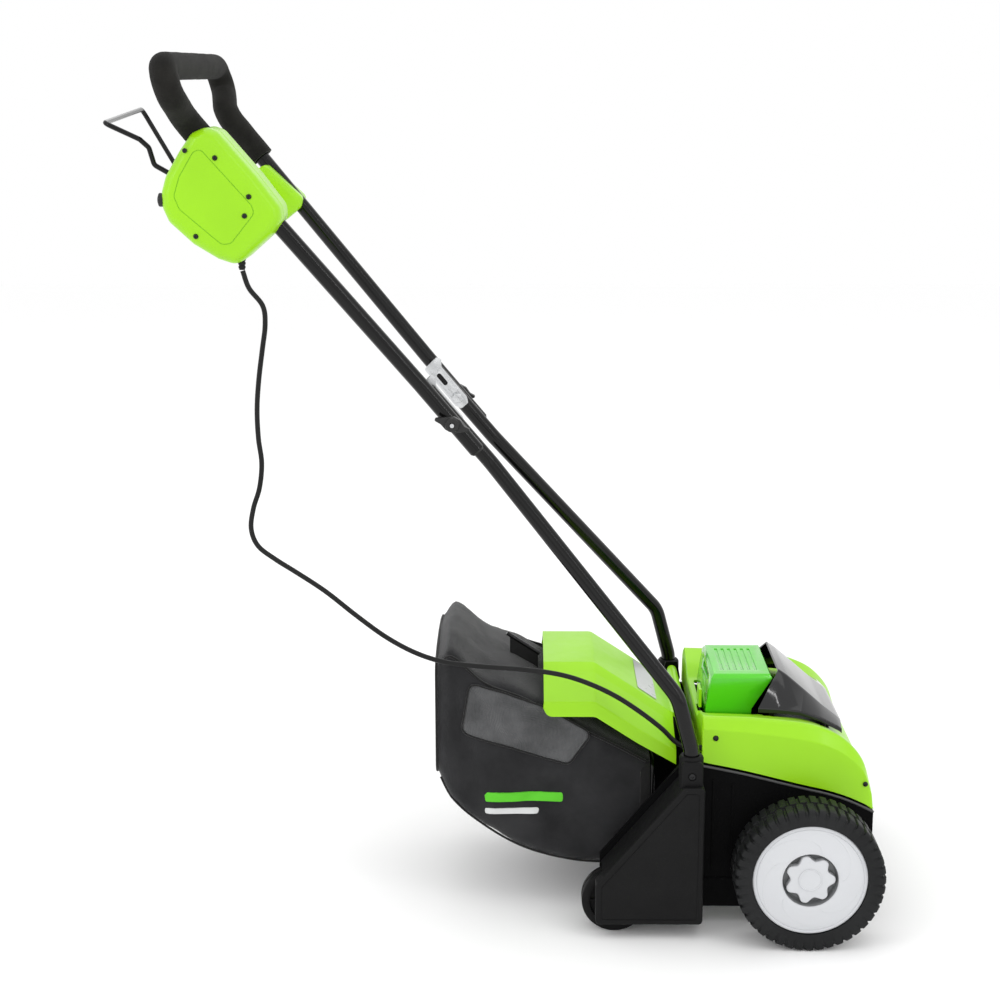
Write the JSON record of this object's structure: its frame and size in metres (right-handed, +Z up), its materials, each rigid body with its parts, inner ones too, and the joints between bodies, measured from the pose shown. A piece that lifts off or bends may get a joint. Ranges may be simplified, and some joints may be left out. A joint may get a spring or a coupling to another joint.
{
  "type": "battery lawn dethatcher",
  "caption": "Battery-powered walk-behind lawn dethatcher with a folding tube handle, dead-man bail, tine rotor and rear fabric grass bag.",
  "frame": {"origin": "on the ground, under the middle of the machine's overall box", "axes": "+X forward, +Y to the left as the user pushes it, +Z up"},
  "size_m": [0.9239, 0.49, 1.0538],
  "materials": {
    "lime_plastic": "satin moulded plastic, bright yellow-green",
    "green_plastic": "glossy saturated green",
    "black_plastic": "fine-textured matt black",
    "dark_plastic": "dark grey, satin",
    "gloss_black_plastic": "piano black",
    "painted_tube": "gloss black powder coat",
    "pale_plastic": "pale grey, satin",
    "tread_rubber": "matt black rubber",
    "soft_rubber": "matt black rubber",
    "foam": "closed-cell foam, matt charcoal",
    "bag_fabric": "black woven nylon",
    "zinc_steel": "zinc plated",
    "black_steel": "black oxide",
    "cast_metal": "die cast"
  },
  "bodies": {
    "chassis": {"deck_housing": "black_plastic", "side_panel_right": "black_plastic", "side_panel_left": "black_plastic", "top_hood": "lime_plastic", "front_fairing": "gloss_black_plastic", "battery_dock": "black_plastic", "motor": "cast_metal", "drive_belt": "soft_rubber", "rotor_bearing_right": "zinc_steel", "rotor_bearing_left": "zinc_steel", "front_axle": "zinc_steel", "rear_axle": "zinc_steel", "flap_hinge_pin": "zinc_steel", "hood_screw_rear_right": "black_steel", "hood_screw_rear_left": "black_steel", "hood_screw_front_right": "black_steel", "hood_screw_front_left": "black_steel", "cable_gland_hood": "soft_rubber", "power_cable": "soft_rubber", "lower_handle_right": "painted_tube", "lower_handle_left": "painted_tube", "clamp_plate_right": "zinc_steel", "clamp_plate_left": "zinc_steel"},
    "front_wheel_right": {"tyre_right": "tread_rubber", "wheel_hub_right": "pale_plastic", "hub_cap_right": "pale_plastic"},
    "front_wheel_left": {"tyre_left": "tread_rubber", "wheel_hub_left": "pale_plastic", "hub_cap_left": "pale_plastic"},
    "rear_wheel_right": {"rear_wheel_right": "black_plastic"},
    "rear_wheel_left": {"rear_wheel_left": "black_plastic"},
    "tine_rotor": {"tine_rotor": "zinc_steel", "rotor_pulley": "zinc_steel"},
    "motor_shaft": {"motor_pulley": "zinc_steel"},
    "rear_flap": {"rear_flap": "lime_plastic"},
    "grass_bag": {"grass_bag": "bag_fabric", "bag_frame": "painted_tube", "bag_rod": "painted_tube"},
    "battery_pack": {"battery_pack": "green_plastic"},
    "battery_release": {"battery_release": "lime_plastic"},
    "upper_handle": {"upper_handle": "painted_tube", "foam_grip": "foam", "switch_box_outer": "lime_plastic", "switch_box_inner": "lime_plastic", "box_screw_1": "black_steel", "box_screw_2": "black_steel", "box_screw_3": "black_steel", "box_screw_4": "black_steel", "box_screw_5": "black_steel", "left_box": "lime_plastic", "cable_gland_box": "soft_rubber", "joint_bolt_right": "zinc_steel", "joint_bolt_left": "zinc_steel"},
    "wing_knob_right": {"wing_knob_right": "dark_plastic"},
    "wing_knob_left": {"wing_knob_left": "dark_plastic"},
    "bail_lever": {"bail_lever": "painted_tube"},
    "lock_off_button": {"lock_off_button": "dark_plastic"}
  },
  "joints": [
    {"name": "front_wheel_right_spin", "type": "hinge", "parent": "chassis", "child": "front_wheel_right", "pos_m": [0.372, -0.2175, 0.09], "axis": [0, 1, 0], "continuous": true},
    {"name": "front_wheel_left_spin", "type": "hinge", "parent": "chassis", "child": "front_wheel_left", "pos_m": [0.372, 0.2175, 0.09], "axis": [0, 1, 0], "continuous": true},
    {"name": "rear_wheel_right_spin", "type": "hinge", "parent": "chassis", "child": "rear_wheel_right", "pos_m": [0.141, -0.1785, 0.04], "axis": [0, 1, 0], "continuous": true},
    {"name": "rear_wheel_left_spin", "type": "hinge", "parent": "chassis", "child": "rear_wheel_left", "pos_m": [0.141, 0.1785, 0.04], "axis": [0, 1, 0], "continuous": true},
    {"name": "rotor_spin", "type": "hinge", "parent": "chassis", "child": "tine_rotor", "pos_m": [0.298, 0, 0.08], "axis": [0, 1, 0], "continuous": true},
    {"name": "motor_spin", "type": "hinge", "parent": "chassis", "child": "motor_shaft", "pos_m": [0.385, 0.135, 0.197], "axis": [0, 1, 0], "continuous": true},
    {"name": "flap_lift", "type": "hinge", "parent": "chassis", "child": "rear_flap", "pos_m": [0.232, 0, 0.232], "axis": [0, 1, 0], "range_deg": [0, 60]},
    {"name": "bag_pull_off", "type": "slide", "parent": "chassis", "child": "grass_bag", "axis": [-0.9925, 0, 0.1222], "range_m": [0, 0.2]},
    {"name": "battery_slide", "type": "slide", "parent": "chassis", "child": "battery_pack", "axis": [0, 0, 1], "range_m": [0, 0.045]},
    {"name": "battery_release_press", "type": "slide", "parent": "chassis", "child": "battery_release", "axis": [0, 0, -1], "range_m": [0, 0.003], "stiffness_N_per_m": 600, "springref_m": -0.001},
    {"name": "handle_fold", "type": "hinge", "parent": "chassis", "child": "upper_handle", "pos_m": [-0.056, 0, 0.62], "axis": [0, 1, 0], "range_deg": [0, 155]},
    {"name": "wing_knob_right_turn", "type": "hinge", "parent": "upper_handle", "child": "wing_knob_right", "pos_m": [-0.056, -0.12, 0.62], "axis": [0, 1, 0], "continuous": true},
    {"name": "wing_knob_left_turn", "type": "hinge", "parent": "upper_handle", "child": "wing_knob_left", "pos_m": [-0.056, 0.12, 0.62], "axis": [0, 1, 0], "continuous": true},
    {"name": "bail_pull", "type": "hinge", "parent": "upper_handle", "child": "bail_lever", "pos_m": [-0.31, 0, 0.885], "axis": [0, 1, 0], "range_deg": [0, 24], "stiffness_Nm_per_rad": 1, "springref_deg": -20.05},
    {"name": "lock_off_press", "type": "slide", "parent": "upper_handle", "child": "lock_off_button", "axis": [1, 0, 0], "range_m": [0, 0.003], "stiffness_N_per_m": 400, "springref_m": -0.001}
  ],
  "couplings": [
    {"joint": "motor_spin", "follows": "rotor_spin", "ratio": 2.8}
  ]
}
